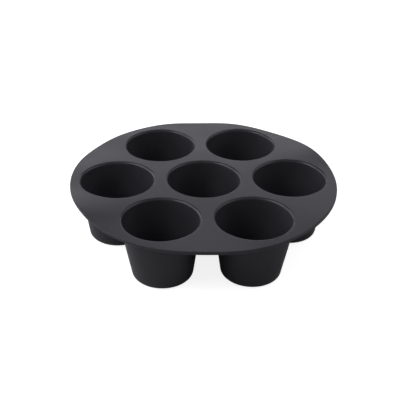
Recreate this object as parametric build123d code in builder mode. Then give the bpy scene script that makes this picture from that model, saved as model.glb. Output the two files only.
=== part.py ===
"""Seven-cup silicone muffin mould for a round air-fryer basket.

The real mould is one soft silicone moulding: a round tray with seven tapered cups hanging from it,
one in the middle and six around it. Here it is cut, on one level plane just under the tray, into the
tray with its seven rounded mouths and the seven cups. Each cup meets its collar on the tray face to face.

Frame: +Z up, the origin on the table under the middle cup, +X through the centre of the first ring cup.
Units are millimetres and degrees.
"""

from build123d import *
import os
from math import cos, radians, tan

# Driving dimensions.
mouth_diameter = 58.0  # where a mouth's rounded edge meets the tray's top face
mouth_gap = 7.0  # flat strip of tray between two neighbouring mouths
rim_width = 6.0  # flat strip of tray outside the outermost mouths
overall_height = 45.5  # from the table to the tray's top face
tray_thickness = 2.5
collar_depth = 3.0  # from the tray's underside down to where a cup begins
cup_wall = 1.6  # measured square to the sloping wall
cup_floor = 1.8
draft_angle = 9.0  # slope of the cup walls from vertical
mouth_round = 2.0  # radius of the rounded mouth edge
collar_round = 1.5  # radius in the corner between the tray's underside and a collar
rim_top_round = 0.4
rim_bottom_round = 0.8
base_round_outside = 3.5
base_round_inside = 2.5
ring_cup_count = 6

# Levels above the table.
top_level = overall_height
underside_level = top_level - tray_thickness
seam_level = underside_level - collar_depth

# Every cone stands on its small end, on the level that it is placed at.
rising = (Align.CENTER, Align.CENTER, Align.MIN)

# A mouth's rounded edge is tangent to the top face and to the sloping inner wall.
slope = tan(radians(draft_angle))
mouth_setback = mouth_round * tan(radians(90 - draft_angle) / 2)
inner_radius_at_top = mouth_diameter / 2 - mouth_setback
outer_radius_at_top = inner_radius_at_top + cup_wall / cos(radians(draft_angle))

# The six ring cups stand one pitch from the middle one, and so one pitch from each other.
pitch = mouth_diameter + mouth_gap
tray_radius = pitch + mouth_diameter / 2 + rim_width
ring = PolarLocations(pitch, ring_cup_count)
cup_centres = [(0.0, 0.0)] + [(place.position.X, place.position.Y) for place in ring.locations]


def inner_radius(level):
    """Radius of a cup's inside wall at a level above the table."""
    return inner_radius_at_top - (top_level - level) * slope


def outer_radius(level):
    """Radius of a cup's outside wall at a level above the table."""
    return outer_radius_at_top - (top_level - level) * slope


def is_round_cup_edge(edge):
    """True for a circle of a mouth or a collar, and False for the tray's own rim."""
    return edge.geom_type == GeomType.CIRCLE and edge.radius < mouth_diameter / 2 + rim_width


def make_tray():
    """The round tray with seven open collars below it, each of them the top of a cup."""
    seam_points = [(x, y, seam_level) for x, y in cup_centres]
    with BuildPart() as tray:
        with BuildSketch(Plane.XY.offset(underside_level)):
            Circle(tray_radius)
        extrude(amount=tray_thickness)
        with Locations(*seam_points):
            Cone(outer_radius(seam_level), outer_radius(underside_level), collar_depth, align=rising)
        with Locations(*seam_points):
            Cone(
                inner_radius(seam_level),
                inner_radius(top_level),
                top_level - seam_level,
                align=rising,
                mode=Mode.SUBTRACT,
            )
        top_edges = tray.faces().sort_by(Axis.Z)[-1].edges()
        fillet(top_edges.filter_by(is_round_cup_edge), mouth_round)
        underside = tray.faces().filter_by(GeomType.PLANE).filter_by_position(
            Axis.Z, underside_level - tray_thickness / 2, underside_level + tray_thickness / 2
        )
        fillet(underside.edges().filter_by(is_round_cup_edge), collar_round)
        rim = tray.edges().filter_by(GeomType.CIRCLE).sort_by(SortBy.RADIUS)[-2:].sort_by(Axis.Z)
        fillet(rim[-1], rim_top_round)
        fillet(rim[0], rim_bottom_round)
    tray.part.label = "tray"
    return tray.part


def make_cup(name, x, y):
    """One tapered cup, open at the top, round the upright axis through (x, y)."""
    with BuildPart() as cup:
        with Locations((x, y, 0)):
            Cone(outer_radius(0), outer_radius(seam_level), seam_level, align=rising)
        fillet(cup.edges().filter_by(GeomType.CIRCLE).sort_by(Axis.Z)[0], base_round_outside)
        with Locations((x, y, cup_floor)):
            Cone(
                inner_radius(cup_floor),
                inner_radius(seam_level),
                seam_level - cup_floor,
                align=rising,
                mode=Mode.SUBTRACT,
            )
        flat_faces = cup.faces().filter_by(GeomType.PLANE).sort_by(Axis.Z)
        fillet(flat_faces[1].edges(), base_round_inside)
    cup.part.label = name
    return cup.part


def main():
    """Makes the tray and the seven cups and writes one STEP file for each."""
    os.makedirs("parts", exist_ok=True)
    cup_names = ["cup_centre"] + [f"cup_ring_{n + 1}" for n in range(ring_cup_count)]
    pieces = [make_tray()]
    pieces += [make_cup(name, x, y) for name, (x, y) in zip(cup_names, cup_centres)]
    for piece in pieces:
        export_step(piece, f"parts/{piece.label}.step")
    print(f"tray diameter {2 * tray_radius:.1f}, cup base diameter {2 * outer_radius(0):.1f}")


main()
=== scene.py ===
# %% [markdown]
# # A seven-cup silicone muffin mould
# The object is one soft moulding: a flat round tray with seven tapered cups hanging from it, one in the
# middle and six around it. The CAD model holds its sizes as a tray and seven cups that meet face to face.
# This lesson builds the looks of those eight pieces in the same places: rounded mouths, a tray that has
# sprung slightly out of flat, and the fine matte skin of moulded silicone.

from math import atan2, cos, degrees, exp, hypot, pi, radians, sin, sqrt, tan

import bmesh
import bpy
from mathutils import Matrix, Vector


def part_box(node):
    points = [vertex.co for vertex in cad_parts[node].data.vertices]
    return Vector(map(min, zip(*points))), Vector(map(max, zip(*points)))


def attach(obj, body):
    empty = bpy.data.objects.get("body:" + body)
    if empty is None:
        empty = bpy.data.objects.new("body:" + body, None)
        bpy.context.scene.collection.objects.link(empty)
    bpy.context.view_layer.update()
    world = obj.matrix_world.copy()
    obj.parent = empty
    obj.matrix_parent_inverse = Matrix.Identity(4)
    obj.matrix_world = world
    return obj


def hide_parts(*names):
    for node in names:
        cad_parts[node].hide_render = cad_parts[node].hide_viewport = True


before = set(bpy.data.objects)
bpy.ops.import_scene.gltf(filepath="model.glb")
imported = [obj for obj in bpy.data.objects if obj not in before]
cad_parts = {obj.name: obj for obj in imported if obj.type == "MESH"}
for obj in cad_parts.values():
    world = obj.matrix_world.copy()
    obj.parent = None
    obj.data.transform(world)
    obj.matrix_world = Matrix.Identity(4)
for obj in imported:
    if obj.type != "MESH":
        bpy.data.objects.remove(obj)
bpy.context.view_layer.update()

# %% [markdown]
# ## Sizes
# Blender works in metres, so a named millimetre keeps the numbers readable. Where the tray ends, how high it
# stands and where the cups hang are read from the frame. Only the wall, the slope and the rounded edges are
# repeated here, because a box can't tell them.

# %% Read the big sizes from the frame and name the small ones
MM = 0.001
tray_low, tray_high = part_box("tray")
cup_low, cup_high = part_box("cup_centre")
first_low, first_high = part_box("cup_ring_1")

top_level = tray_high.z
seam_level = tray_low.z
tray_radius = (tray_high.x - tray_low.x) / 2
pitch = (first_low.x + first_high.x) / 2
outer_radius_at_seam = (cup_high.x - cup_low.x) / 2

tray_thickness = 2.5 * MM
cup_wall = 1.6 * MM
cup_floor = 1.8 * MM
draft = radians(9.0)
mouth_round = 2.0 * MM
collar_round = 1.5 * MM
rim_top_round = 0.4 * MM
rim_bottom_round = 0.8 * MM
base_round_outside = 3.5 * MM
base_round_inside = 2.5 * MM
underside_level = top_level - tray_thickness

ring_names = [f"cup_ring_{n + 1}" for n in range(6)]
cup_centres = {"cup_centre": Vector((0, 0))}
for n, name in enumerate(ring_names):
    angle = radians(60 * n)
    cup_centres[name] = Vector((pitch * cos(angle), pitch * sin(angle)))
print(f"tray radius {tray_radius / MM:.1f} mm, pitch {pitch / MM:.1f} mm, top at {top_level / MM:.1f} mm")


# %% Radius of the cups' sloping walls at any level
def outer_radius(level):
    """Radius of a cup's outside wall at a level above the table."""
    return outer_radius_at_seam - (seam_level - level) * tan(draft)


def inner_radius(level):
    """Radius of a cup's inside wall at a level above the table."""
    return outer_radius(level) - cup_wall / cos(draft)


mouth_radius = inner_radius(top_level) + mouth_round * tan((pi / 2 - draft) / 2)
print(f"a mouth's rounded edge starts {mouth_radius / MM:.2f} mm from its axis")

# %% [markdown]
# ## The camera
# The mould is seen from the front and about thirty degrees above, from a little to its left, with a short
# telephoto lens. A camera looks along its own -Z, so the direction to the target becomes that axis. A small
# turn about it gives the slight tilt that a real camera on a tripod has.

# %% Place the camera
camera_target = Vector((0.85 * MM, -42.8 * MM, top_level))
camera_azimuth = radians(-3.75)
camera_elevation = radians(31.55)
camera_distance = 580.7 * MM
camera_roll = radians(1.33)
lens_length = 70.7
sensor_width = 36
nearest_seen = 0.01

towards_camera = Vector((
    sin(camera_azimuth) * cos(camera_elevation),
    -cos(camera_azimuth) * cos(camera_elevation),
    sin(camera_elevation),
))
camera_data = bpy.data.cameras.new("camera")
camera_data.lens = lens_length
camera_data.sensor_width = sensor_width
camera_data.clip_start = nearest_seen
camera = bpy.data.objects.new("camera", camera_data)
camera.location = camera_target + towards_camera * camera_distance
level_view = (-towards_camera).to_track_quat("-Z", "Y").to_matrix().to_4x4()
camera.rotation_euler = (level_view @ Matrix.Rotation(camera_roll, 4, "Z")).to_euler()
bpy.context.scene.collection.objects.link(camera)
bpy.context.scene.camera = camera
print("camera at", [round(x, 3) for x in camera.location])

# %% [markdown]
# ## Small helpers for node trees
# Node trees are easier to read in code when each node is made in one line. `node` adds one, fills its input
# sockets by name or number, and joins an input to another node's output when it is given one.


# %% Helpers that add a node and join its inputs
def node(tree, kind, inputs=(), **settings):
    """Adds a node of this kind to the tree, with settings as properties and inputs as values or links."""
    made = tree.nodes.new(kind)
    for name, value in settings.items():
        setattr(made, name, value)
    for name, value in dict(inputs).items():
        if isinstance(value, bpy.types.NodeSocket):
            tree.links.new(value, made.inputs[name])
        else:
            made.inputs[name].default_value = value
    return made


def maths(tree, operation, *values):
    """A Math node's result for these one, two or three values."""
    return node(tree, "ShaderNodeMath", dict(enumerate(values)), operation=operation).outputs[0]


# %% [markdown]
# ## A cup, by Geometry Nodes
# A cup is a turned shape: one section, swept round an upright axis. It could be modelled with the Screw
# modifier or a lathe-like spin, but Geometry Nodes keep every size as a named input, and the same tree makes
# all seven cups. The section is a closed line of six corners. Two of them are rounded by Fillet Curve, and
# Curve to Mesh sweeps it round a circle. A soft moulding is never perfectly round, so a low noise pushes the
# wall in and out by a fraction of a millimetre, fading to nothing at the base and where the tray begins.

# %% Name the sizes that the cup's tree takes
cup_sizes = {
    "Base Radius": outer_radius(0),
    "Seam Radius": outer_radius(seam_level),
    "Seam Inside Radius": inner_radius(seam_level),
    "Floor Inside Radius": inner_radius(cup_floor),
    "Seam Height": seam_level,
    "Floor Height": cup_floor,
    "Base Round": base_round_outside,
    "Floor Round": base_round_inside,
    "Unevenness": 0.35 * MM,
    "Axis X": 0.0,
    "Axis Y": 0.0,
    "Seed": 0.0,
}
cup_spokes = 144
wall_cuts = 4
round_steps = 10
merge_gap = 0.002 * MM
crease_angle = radians(50)

cup_tree = bpy.data.node_groups.new("turned_cup", "GeometryNodeTree")
cup_tree.interface.new_socket("Geometry", in_out="INPUT", socket_type="NodeSocketGeometry")
cup_tree.interface.new_socket("Geometry", in_out="OUTPUT", socket_type="NodeSocketGeometry")
cup_inputs = {}
for name, value in cup_sizes.items():
    socket = cup_tree.interface.new_socket(name, in_out="INPUT", socket_type="NodeSocketFloat")
    socket.default_value = value
    cup_inputs[name] = socket.identifier
material_socket = cup_tree.interface.new_socket("Material", in_out="INPUT", socket_type="NodeSocketMaterial")
sizes = node(cup_tree, "NodeGroupInput").outputs
print("the cup's tree has", len(cup_sizes), "named sizes")


# %% Draw the section: six corners, two of them rounded
def corner(radius, height):
    """A corner of the section, drawn flat: radius along X and height along Y."""
    return node(cup_tree, "ShaderNodeCombineXYZ", {0: radius, 1: height}).outputs[0]


section_corners = [
    corner(0.0, 0.0),
    corner(sizes["Base Radius"], 0.0),
    corner(sizes["Seam Radius"], sizes["Seam Height"]),
    corner(sizes["Seam Inside Radius"], sizes["Seam Height"]),
    corner(sizes["Floor Inside Radius"], sizes["Floor Height"]),
    corner(0.0, sizes["Floor Height"]),
]
point_index = node(cup_tree, "GeometryNodeInputIndex").outputs[0]
pick_corner = node(cup_tree, "GeometryNodeIndexSwitch", data_type="VECTOR")
while len(pick_corner.index_switch_items) < len(section_corners):
    pick_corner.index_switch_items.new()
cup_tree.links.new(point_index, pick_corner.inputs["Index"])
for n, place in enumerate(section_corners):
    cup_tree.links.new(place, pick_corner.inputs[n + 1])

line = node(cup_tree, "GeometryNodeMeshLine", {"Count": len(section_corners)})
line_curve = node(cup_tree, "GeometryNodeMeshToCurve", {"Mesh": line.outputs[0]})
cornered = node(
    cup_tree,
    "GeometryNodeSetPosition",
    {"Geometry": line_curve.outputs[0], "Position": pick_corner.outputs[0]},
)
divided = node(cup_tree, "GeometryNodeSubdivideCurve", {"Curve": cornered.outputs[0], "Cuts": wall_cuts})


# %% Round the base's corner and the floor's
def only_at(corner_number, value):
    """The value at one corner of the divided section, and nothing elsewhere."""
    at_corner = maths(cup_tree, "COMPARE", point_index, corner_number * (wall_cuts + 1.0), 0.5)
    return maths(cup_tree, "MULTIPLY", at_corner, value)


rounding = maths(cup_tree, "ADD", only_at(1, sizes["Base Round"]), only_at(4, sizes["Floor Round"]))
rounded = node(
    cup_tree,
    "GeometryNodeFilletCurve",
    {"Curve": divided.outputs[0], "Radius": rounding, "Limit Radius": False, "Count": round_steps},
    mode="POLY",
)

# %% Sweep the section round the cup's axis and close its poles
spine_radius = 10 * MM
spine = node(
    cup_tree,
    "GeometryNodeCurvePrimitiveCircle",
    {"Resolution": cup_spokes, "Radius": spine_radius},
    mode="RADIUS",
)
upright_spine = node(cup_tree, "GeometryNodeSetCurveNormal", {"Curve": spine.outputs[0]}, mode="Z_UP")
shifted = node(
    cup_tree,
    "GeometryNodeTransform",
    {"Geometry": rounded.outputs[0], "Translation": (-spine_radius, 0, 0), "Scale": (1, -1, 1)},
)
swept = node(
    cup_tree,
    "GeometryNodeCurveToMesh",
    {"Curve": upright_spine.outputs[0], "Profile Curve": shifted.outputs[0]},
)
merged = node(
    cup_tree, "GeometryNodeMergeByDistance", {"Geometry": swept.outputs[0], "Distance": merge_gap}
)
closed = node(cup_tree, "GeometryNodeFlipFaces", {"Mesh": merged.outputs[0]})

# %% Push the wall slightly out of round
noise_scale = 28.0
noise_middle = 0.5
noise_to_full = 2.0
fade_to_full = 4.0

place = node(cup_tree, "GeometryNodeInputPosition").outputs[0]
height = node(cup_tree, "ShaderNodeSeparateXYZ", {0: place}).outputs[2]
flat_place = node(cup_tree, "ShaderNodeVectorMath", {0: place, 1: (1, 1, 0)}, operation="MULTIPLY").outputs[0]
outwards = node(cup_tree, "ShaderNodeVectorMath", {0: flat_place}, operation="NORMALIZE").outputs[0]
height_share = maths(cup_tree, "DIVIDE", height, sizes["Seam Height"])
height_left = maths(cup_tree, "SUBTRACT", 1.0, height_share)
fade = maths(cup_tree, "MULTIPLY", maths(cup_tree, "MULTIPLY", height_share, height_left), fade_to_full)
wander = node(
    cup_tree,
    "ShaderNodeTexNoise",
    {"Vector": place, "W": sizes["Seed"], "Scale": noise_scale, "Detail": 0.0},
    noise_dimensions="4D",
)
push = maths(cup_tree, "SUBTRACT", wander.outputs[0], noise_middle)
push = maths(cup_tree, "MULTIPLY", maths(cup_tree, "MULTIPLY", push, fade), sizes["Unevenness"])
push = maths(cup_tree, "MULTIPLY", push, noise_to_full)
offset = node(cup_tree, "ShaderNodeVectorMath", {0: outwards, "Scale": push}, operation="SCALE").outputs[0]
uneven = node(cup_tree, "GeometryNodeSetPosition", {"Geometry": closed.outputs[0], "Offset": offset})

# %% Carry the cup to its axis, smooth it and give it its material
axis_place = node(cup_tree, "ShaderNodeCombineXYZ", {0: sizes["Axis X"], 1: sizes["Axis Y"]}).outputs[0]
carried = node(
    cup_tree, "GeometryNodeTransform", {"Geometry": uneven.outputs[0], "Translation": axis_place}
)
edge_angle = node(cup_tree, "GeometryNodeInputMeshEdgeAngle").outputs[0]
smooth_faces = node(cup_tree, "GeometryNodeSetShadeSmooth", {"Geometry": carried.outputs[0]}, domain="FACE")
is_soft = maths(cup_tree, "LESS_THAN", edge_angle, crease_angle)
smooth = node(
    cup_tree,
    "GeometryNodeSetShadeSmooth",
    {"Geometry": smooth_faces.outputs[0], "Shade Smooth": is_soft},
    domain="EDGE",
)
real = node(cup_tree, "GeometryNodeRealizeInstances", {"Geometry": smooth.outputs[0]})
painted = node(
    cup_tree, "GeometryNodeSetMaterial", {"Geometry": real.outputs[0], "Material": sizes["Material"]}
)
node(cup_tree, "NodeGroupOutput", {0: painted.outputs[0]})
print("the cup's tree has", len(cup_tree.nodes), "nodes")

# %% [markdown]
# ## The skin of moulded silicone
# Silicone bakeware like this is dark, matte and slightly waxy. Its moulds are often blasted with fine grit,
# which leaves a very fine grain that spreads highlights. Handling makes it unevenly dull, and lint sticks to
# it. Each effect is a node group, so that its size is named, and one material puts them together.


# %% A helper that starts a shader node group
def shader_group(name, inputs, outputs):
    """A new shader group with float inputs given by value, and outputs given by socket type."""
    group = bpy.data.node_groups.new(name, "ShaderNodeTree")
    group.interface.new_socket("Vector", in_out="INPUT", socket_type="NodeSocketVector")
    for label, value in inputs.items():
        group.interface.new_socket(label, in_out="INPUT", socket_type="NodeSocketFloat").default_value = value
    for label, kind in outputs.items():
        group.interface.new_socket(label, in_out="OUTPUT", socket_type=kind)
    return group, node(group, "NodeGroupInput").outputs


# %% The blasted grain of the mould
wave_per_grain = 30.0
wave_height = 6.0

grain_inputs = {"Size mm": 0.5, "Waviness": 0.5}
grain_group, given = shader_group("blasted_grain", grain_inputs, {"Height": "NodeSocketFloat"})
place = given["Vector"]
grain_scale = maths(grain_group, "DIVIDE", 1 / MM, given["Size mm"])
grain_noise = {"Vector": place, "Scale": grain_scale, "Detail": 3.0}
fine_grain = node(grain_group, "ShaderNodeTexNoise", grain_noise)
wave_noise_scale = maths(grain_group, "DIVIDE", grain_scale, wave_per_grain)
wave_noise = {"Vector": place, "Scale": wave_noise_scale, "Detail": 1.0}
slow_wave = node(grain_group, "ShaderNodeTexNoise", wave_noise)
wave = maths(grain_group, "MULTIPLY", slow_wave.outputs[0], given["Waviness"])
tall_wave = maths(grain_group, "MULTIPLY", wave, wave_height)
grain_height = maths(grain_group, "ADD", fine_grain.outputs[0], tall_wave)
node(grain_group, "NodeGroupOutput", {"Height": grain_height})
print("the grain has", len(grain_group.nodes), "nodes")

# %% Uneven dullness left by handling and washing
bloom_from = 0.35
bloom_to = 0.65

bloom_group, given = shader_group("handled_bloom", {"Size mm": 18.0}, {"Mask": "NodeSocketFloat"})
bloom_scale = maths(bloom_group, "DIVIDE", 1 / MM, given["Size mm"])
bloom_places = {"Vector": given["Vector"], "Scale": bloom_scale, "Detail": 4.0}
bloom_noise = node(bloom_group, "ShaderNodeTexNoise", bloom_places)
bloom_range = {0: bloom_noise.outputs[0], 1: bloom_from, 2: bloom_to, 3: 0.0, 4: 1.0}
bloom_mask = node(bloom_group, "ShaderNodeMapRange", bloom_range)
node(bloom_group, "NodeGroupOutput", {"Mask": bloom_mask.outputs[0]})
print("the bloom has", len(bloom_group.nodes), "nodes")

# %% Fine lint and dust
dust_inputs = {"Spacing mm": 4.0, "Speck mm": 0.12}
dust_group, given = shader_group("lint_specks", dust_inputs, {"Mask": "NodeSocketFloat"})
dust_scale = maths(dust_group, "DIVIDE", 1 / MM, given["Spacing mm"])
specks = node(dust_group, "ShaderNodeTexVoronoi", {"Vector": given["Vector"], "Scale": dust_scale})
speck_size = maths(dust_group, "DIVIDE", given["Speck mm"], given["Spacing mm"])
speck_mask = maths(dust_group, "LESS_THAN", specks.outputs["Distance"], speck_size)
node(dust_group, "NodeGroupOutput", {"Mask": speck_mask})
print("the lint has", len(dust_group.nodes), "nodes")

# %% [markdown]
# ## The material
# The colour moves between two near blacks by the bloom's mask, and the lint is a little paler. The same masks
# make the skin rougher where it is dull. The grain goes into a Bump node. Numbers that are the same all over,
# such as the index of refraction of silicone, are set on the shader itself.

# %% Name the skin's colours and dullness
shiny_colour = (0.028, 0.0275, 0.031, 1)
dull_colour = (0.033, 0.0325, 0.036, 1)
lint_colour = (0.08, 0.08, 0.08, 1)
least_roughness = 0.32
most_roughness = 0.37
bump_strength = 0.25
bump_depth = 0.03 * MM
silicone_ior = 1.42
print("the skin's roughness runs from", least_roughness, "to", most_roughness)

# %% Put the skin's effects together
silicone = bpy.data.materials.new("moulded_silicone")
silicone.use_nodes = True
tree = silicone.node_tree
shader = tree.nodes["Principled BSDF"]
coordinates = node(tree, "ShaderNodeTexCoord").outputs["Object"]


def effect(group, **values):
    """A shader group placed in the silicone's tree, reading the piece's own coordinates."""
    placed = node(tree, "ShaderNodeGroup", node_tree=group)
    tree.links.new(coordinates, placed.inputs["Vector"])
    for label, value in values.items():
        placed.inputs[label.replace("_", " ")].default_value = value
    return placed.outputs[0]


bloom = effect(bloom_group, Size_mm=18.0)
lint = effect(dust_group, Spacing_mm=5.0, Speck_mm=0.14)
grain = effect(grain_group, Size_mm=0.5, Waviness=0.4)

body_colour = node(
    tree,
    "ShaderNodeMix",
    {0: bloom, 6: shiny_colour, 7: dull_colour},
    data_type="RGBA",
)
dusty_colour = node(
    tree,
    "ShaderNodeMix",
    {0: lint, 6: body_colour.outputs[2], 7: lint_colour},
    data_type="RGBA",
)
roughness = node(tree, "ShaderNodeMapRange", {0: bloom, 3: least_roughness, 4: most_roughness})
bump = node(tree, "ShaderNodeBump", {"Strength": bump_strength, "Distance": bump_depth, "Height": grain})
tree.links.new(dusty_colour.outputs[2], shader.inputs["Base Color"])
tree.links.new(roughness.outputs[0], shader.inputs["Roughness"])
tree.links.new(bump.outputs[0], shader.inputs["Normal"])
shader.inputs["IOR"].default_value = silicone_ior
print("the silicone's tree has", len(tree.nodes), "nodes")


# %% Make the seven cups
def plain_mesh(name, tree, values):
    """Runs a geometry tree on an empty mesh and returns the result as an object with a plain mesh."""
    seed = bpy.data.objects.new(name + "_seed", bpy.data.meshes.new(name + "_seed"))
    bpy.context.scene.collection.objects.link(seed)
    modifier = seed.modifiers.new("tree", "NODES")
    modifier.node_group = tree
    for identifier, value in values.items():
        modifier[identifier] = value
    depsgraph = bpy.context.evaluated_depsgraph_get()
    mesh = bpy.data.meshes.new_from_object(seed.evaluated_get(depsgraph), depsgraph=depsgraph)
    bpy.data.objects.remove(seed)
    mesh.name = name
    made = bpy.data.objects.new(name, mesh)
    bpy.context.scene.collection.objects.link(made)
    return made


cups = {}
for seed, (name, axis) in enumerate(cup_centres.items()):
    values = {
        cup_inputs["Axis X"]: axis.x,
        cup_inputs["Axis Y"]: axis.y,
        cup_inputs["Seed"]: float(seed),
        material_socket.identifier: silicone,
    }
    cups[name] = plain_mesh("silicone_" + name, cup_tree, values)


def measure(piece):
    """Prints a piece's faces, open edges and volume, which is positive when its faces point outwards."""
    bm = bmesh.new()
    bm.from_mesh(piece.data)
    open_edges = sum(1 for edge in bm.edges if not edge.is_manifold)
    volume = bm.calc_volume(signed=True) / MM**3 / 1000
    print(f"{piece.name}: {len(bm.faces)} faces, {open_edges} open edges, {volume:.2f} cubic centimetres")
    bm.free()


# %% [markdown]
# ## The tray, spoke by spoke
# The tray is flat with seven round mouths. A plain disc with holes cut by a Boolean would leave long thin
# triangles that shade badly round the mouths. So every cup gets its own patch of tray: the points nearer to
# it than to any other cup. Spokes run from the mouth to the patch's border, and every spoke carries the same
# section: up the collar, round the mouth's edge, out over the top and back underneath. Neighbouring patches
# have mirrored spokes, so their border points meet and are merged into one closed skin.

# %% The section of the tray at a mouth
spoke_step = 2.5
edge_steps = 10
rim_top_steps = 4
rim_bottom_steps = 6
flat_shares = [0.0, 0.04, 0.14, 0.28, 0.42, 0.56, 0.70, 0.84, 0.95, 1.0]


def arc(radius, level, size, start, end, steps):
    """Points (radius, level) along an arc of this size about a centre, between two angles in degrees."""
    turns = [radians(start + (end - start) * n / steps) for n in range(steps + 1)]
    return [(radius + size * cos(turn), level + size * sin(turn)) for turn in turns]


draft_degrees = degrees(draft)
collar_centre_level = underside_level - collar_round
collar_centre_radius = outer_radius(collar_centre_level) + collar_round / cos(draft)
inside_section = [(inner_radius(seam_level), seam_level)]
inside_section += arc(mouth_radius, top_level - mouth_round, mouth_round, 180 - draft_degrees, 90, edge_steps)
outside_section = arc(
    collar_centre_radius, collar_centre_level, collar_round, 90, 180 - draft_degrees, edge_steps
)
outside_section += [(outer_radius(seam_level), seam_level)]
rim_section = arc(
    tray_radius - rim_top_round, top_level - rim_top_round, rim_top_round, 90, 0, rim_top_steps
)
rim_section += arc(
    tray_radius - rim_bottom_round,
    underside_level + rim_bottom_round,
    rim_bottom_round,
    0,
    -90,
    rim_bottom_steps,
)
print("a mouth's section has", len(inside_section) + len(outside_section), "points")


# %% Where a spoke meets its patch's border
same_place = 0.001 * MM
neighbour_reach = 1.1 * pitch
farther_than_any = 1.0
half_ring_turn = radians(30)


def border_point(centre, direction):
    """The border point of a spoke, and whether it lies on the tray's rim."""
    along = centre.dot(direction)
    to_rim = -along + sqrt(along * along - centre.length_squared + tray_radius * tray_radius)
    to_neighbour = farther_than_any
    for other in cup_centres.values():
        gap = other - centre
        facing = gap.dot(direction)
        if 0 < gap.length < neighbour_reach and facing > 0:
            to_neighbour = min(to_neighbour, gap.length_squared / 2 / facing)
    on_rim = to_rim < to_neighbour + same_place
    return centre + direction * min(to_rim, to_neighbour), on_rim


def spoke_angles(centre):
    """Angles of a patch's spokes, with one through each point where its border leaves the rim."""
    outward = atan2(centre.y, centre.x)
    steps = round(360 / spoke_step)
    angles = [outward + radians(spoke_step * n) for n in range(steps)]
    if centre.length > 0:
        for side in (-1, 1):
            turn = outward + side * half_ring_turn
            leaving = Vector((tray_radius * cos(turn), tray_radius * sin(turn))) - centre
            angles.append(atan2(leaving.y, leaving.x) % (2 * pi))
    return sorted(angle % (2 * pi) for angle in angles)


# %% Build each patch and merge them
def raised(point, level):
    """A flat point at a level."""
    return Vector((point.x, point.y, level))


def between(start, end):
    """Points on the flat between two points, closer together near both ends."""
    return [start.lerp(end, share) for share in flat_shares]


def spoke_points(centre, angle):
    """A spoke's points as three runs: up the inside and over the top, round the rim, and back underneath."""
    direction = Vector((cos(angle), sin(angle)))
    border, on_rim = border_point(centre, direction)
    rim = []
    top_end = raised(border, top_level)
    under_end = raised(border, underside_level)
    if on_rim:
        rim = [raised(border.normalized() * radius, level) for radius, level in rim_section]
        top_end = rim[0]
        under_end = rim[-1]
    inside = [raised(centre + direction * radius, level) for radius, level in inside_section]
    outside = [raised(centre + direction * radius, level) for radius, level in outside_section]
    over = inside + between(inside[-1], top_end)[1:]
    under = between(under_end, outside[0]) + outside[1:]
    return over, rim, under


def bridge(bm, one, other):
    """Quads between two rows of vertices. Rows that meet are merged later."""
    for n in range(len(one) - 1):
        corners = [one[n], one[n + 1], other[n + 1], other[n]]
        bm.faces.new(corners)


tray_bm = bmesh.new()
for centre in cup_centres.values():
    spokes = []
    for angle in spoke_angles(centre):
        over, rim, under = spoke_points(centre, angle)
        rows = [[tray_bm.verts.new(point) for point in run] for run in (over, rim, under)]
        spokes.append(rows)
    for here, after in zip(spokes, spokes[1:] + spokes[:1]):
        bridge(tray_bm, here[0], after[0])
        bridge(tray_bm, here[2] + here[0][:1], after[2] + after[0][:1])
        if here[1] and after[1]:
            bridge(tray_bm, here[1], after[1])
bmesh.ops.remove_doubles(tray_bm, verts=tray_bm.verts, dist=same_place)
bmesh.ops.recalc_face_normals(tray_bm, faces=tray_bm.faces)
open_edges = sum(1 for edge in tray_bm.edges if not edge.is_manifold)
print("the tray has", len(tray_bm.faces), "faces and", open_edges, "open edges")

# %% Turn the tray into an object
for face in tray_bm.faces:
    face.smooth = True
for edge in tray_bm.edges:
    edge.smooth = edge.calc_face_angle(0.0) < crease_angle
tray_mesh = bpy.data.meshes.new("silicone_tray")
tray_bm.to_mesh(tray_mesh)
tray_bm.free()
tray_mesh.materials.append(silicone)
tray = bpy.data.objects.new("silicone_tray", tray_mesh)
bpy.context.scene.collection.objects.link(tray)
print("the tray's mesh has", len(tray_mesh.vertices), "vertices")

# %% [markdown]
# ## The moulding's spring
# Thin silicone never lies quite flat. The tray's free edge lifts or droops by a millimetre or two between the
# outer cups. A cloth simulation would find some shape of its own, so the heights are listed instead,
# each at its own direction in degrees from +X. Every vertex of the tray and of the cups goes through the same
# function, which fades to nothing towards the middle and towards the table. So the pieces still meet.

# %% Bend the free spans
rim_lifts = {26: 1.5, 54: -0.9, 90: -1.8, 120: -0.5, 148: -1.1, 204: 1.6, 228: -0.3, 268: 1.2, 325: 0.3}
lift_width = 10.0
stiff_radius = 0.38 * tray_radius
print("the tray is stiff within", round(stiff_radius / MM), "mm of its middle")


def smooth_step(value):
    """Zero below 0, one above 1, and a smooth rise between."""
    share = min(max(value, 0.0), 1.0)
    return share * share * (3 - 2 * share)


def lift_at(place):
    """How far a point of the moulding is lifted out of flat."""
    angle = degrees(atan2(place.y, place.x))
    lift = 0.0
    for middle, height in rim_lifts.items():
        away = (angle - middle + 180) % 360 - 180
        lift += height * MM * exp(-0.5 * (away / lift_width) ** 2)
    outward = max(hypot(place.x, place.y) - stiff_radius, 0.0) / (tray_radius - stiff_radius)
    return lift * outward**2 * smooth_step(place.z / top_level)


for piece in [tray] + list(cups.values()):
    for vertex in piece.data.vertices:
        vertex.co.z += lift_at(vertex.co)

# %% [markdown]
# ## The lean of the outer cups
# Cups that hang from a soft tray can stand a little out of line. They could be turned about the seam, but
# that would open it, so each base is shifted instead, along X and Y in millimetres, fading to nothing at the
# seam. The shifts are listed one by one. They are small, and more of a guess than the tray's bend.

# %% Shift the bases of four outer cups
base_shifts = {
    "cup_ring_1": (0.9, -1.6),
    "cup_ring_4": (-0.3, -1.8),
    "cup_ring_5": (0.8, 0.0),
    "cup_ring_6": (-0.6, 0.0),
}

for name, shift in base_shifts.items():
    for vertex in cups[name].data.vertices:
        hang = 1 - smooth_step(vertex.co.z / seam_level)
        vertex.co += Vector((*shift, 0)) * MM * hang

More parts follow.
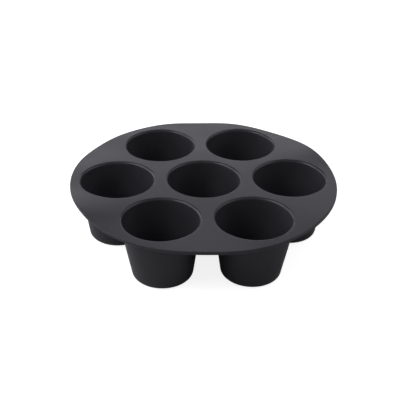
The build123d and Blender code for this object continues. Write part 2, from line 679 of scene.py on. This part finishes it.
for piece in [tray] + list(cups.values()):
    measure(piece)

# %% [markdown]
# ## The floor
# Dark bakeware is often shown on white. A real white table would have to be lit so hard that its light turned
# the black walls grey, so a studio lights the table and the object apart. Here the floor does it alone: a
# Light Path node makes it glow white to the camera and leaves it a plain grey to every other ray. Glow has no
# shadows, so Ambient Occlusion dims it a little where the cups stand close, as a painted contact shadow.

# %% Lay the floor
floor_half = 3.0
floor_drop = 0.2 * MM
floor_grey = 0.5
floor_glow = 0.95
floor_roughness = 0.9
contact_reach = 60 * MM
# How much the painted contact shadow darkens the floor's glow near the cups
contact_shade = 0.12

floor_mesh = bpy.data.meshes.new("floor")
floor_corners = [(-1, -1), (1, -1), (1, 1), (-1, 1)]
floor_points = [(x * floor_half, y * floor_half, -floor_drop) for x, y in floor_corners]
floor_mesh.from_pydata(floor_points, [], [(0, 1, 2, 3)])
floor = bpy.data.objects.new("floor", floor_mesh)
bpy.context.scene.collection.objects.link(floor)

floor_paint = bpy.data.materials.new("floor_paint")
floor_paint.use_nodes = True
floor_tree = floor_paint.node_tree
floor_shader = floor_tree.nodes["Principled BSDF"]
seen = node(floor_tree, "ShaderNodeLightPath").outputs["Is Camera Ray"]
openness = node(floor_tree, "ShaderNodeAmbientOcclusion", {"Distance": contact_reach}).outputs["AO"]
# Painted shadow: Ambient Occlusion dims the floor's white glow to the camera where the cups stand close
glow = node(
    floor_tree, "ShaderNodeMapRange", {0: openness, 3: floor_glow * (1 - contact_shade), 4: floor_glow}
)
glow_to_camera = maths(floor_tree, "MULTIPLY", seen, glow.outputs[0])
floor_tree.links.new(glow_to_camera, floor_shader.inputs["Emission Strength"])
floor_shader.inputs["Emission Color"].default_value = (1, 1, 1, 1)
floor_shader.inputs["Base Color"].default_value = (floor_grey, floor_grey, floor_grey, 1)
floor_shader.inputs["Roughness"].default_value = floor_roughness
floor_mesh.materials.append(floor_paint)
print("the floor is", 2 * floor_half, "m wide")

# %% [markdown]
# ## The lights
# Each light does one job. A box high on the left puts soft lines on the mouths' rounded edges, and a wider
# one lights the right. A wide one, low behind the left side, draws the edges of the cups' walls. A strip
# behind grazes the tray, so that it is lighter towards the back. A weak one in front opens the walls that
# face the camera, and a dim white sky evens them all out. The low box is wide because a small bright one
# would burn the matte tray to white from the far side. A light's place is a compass bearing from the front,
# a height angle and a distance.


# %% Hang the softboxes
light_colour = (0.99, 0.975, 1.05)
aim = Vector((0, 0, 30 * MM))


def softbox(name, bearing, height_angle, distance, width, height, watts):
    """A rectangular area light facing the mould from this bearing: 0 is the front and 90 the right."""
    data = bpy.data.lights.new(name, "AREA")
    data.shape = "RECTANGLE"
    data.size = width
    data.size_y = height
    data.energy = watts
    data.color = light_colour
    level_distance = distance * cos(radians(height_angle))
    away = Vector((
        level_distance * sin(radians(bearing)),
        -level_distance * cos(radians(bearing)),
        distance * sin(radians(height_angle)),
    ))
    lamp = bpy.data.objects.new(name, data)
    lamp.location = aim + away
    lamp.rotation_euler = (-away).to_track_quat("-Z", "Y").to_euler()
    bpy.context.scene.collection.objects.link(lamp)
    print(f"{name}: {watts} W over {width} by {height} m")


softbox("box_left", -75, 45, 1.1, 0.7, 0.6, 6.0)
softbox("low_left", -110, 16, 1.2, 1.6, 0.6, 6.5)
softbox("box_right", 90, 35, 1.2, 1.4, 1.0, 5.0)
softbox("strip_back", 180, 24, 1.4, 1.6, 0.25, 2.7)
softbox("box_front", 0, 40, 1.3, 1.0, 0.6, 0.7)

# %% Make the world white to the camera and dim to the object
sky_to_camera = 1.0
sky_to_object = 0.1

world = bpy.data.worlds.new("studio")
bpy.context.scene.world = world
world.use_nodes = True
sky = world.node_tree.nodes["Background"]
sky.inputs["Color"].default_value = (1, 1, 1, 1)
sky_seen = node(world.node_tree, "ShaderNodeLightPath").outputs["Is Camera Ray"]
sky_range = {0: sky_seen, 3: sky_to_object, 4: sky_to_camera}
sky_strength = node(world.node_tree, "ShaderNodeMapRange", sky_range)
world.node_tree.links.new(sky_strength.outputs[0], sky.inputs["Strength"])
print("the sky gives the object", sky_to_object, "of white")

# %% [markdown]
# ## Colour management
# Blender's default view, AgX, rolls bright tones off gently, so a white table would have to glow many times
# brighter than white, and the object's edge against it would look jagged. The Standard view keeps white at
# white, which suits a dark object on a plain white ground.

# %% Choose the view
bpy.context.scene.view_settings.view_transform = "Standard"
print("the view is", bpy.context.scene.view_settings.view_transform)

# %% [markdown]
# ## Handing the pieces over
# Each piece stands for the CAD node of the same region and rides on the one rigid body.

# %% Tie the pieces to the frame
for name, piece in [("tray", tray)] + list(cups.items()):
    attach(piece, "root")
    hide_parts(name)
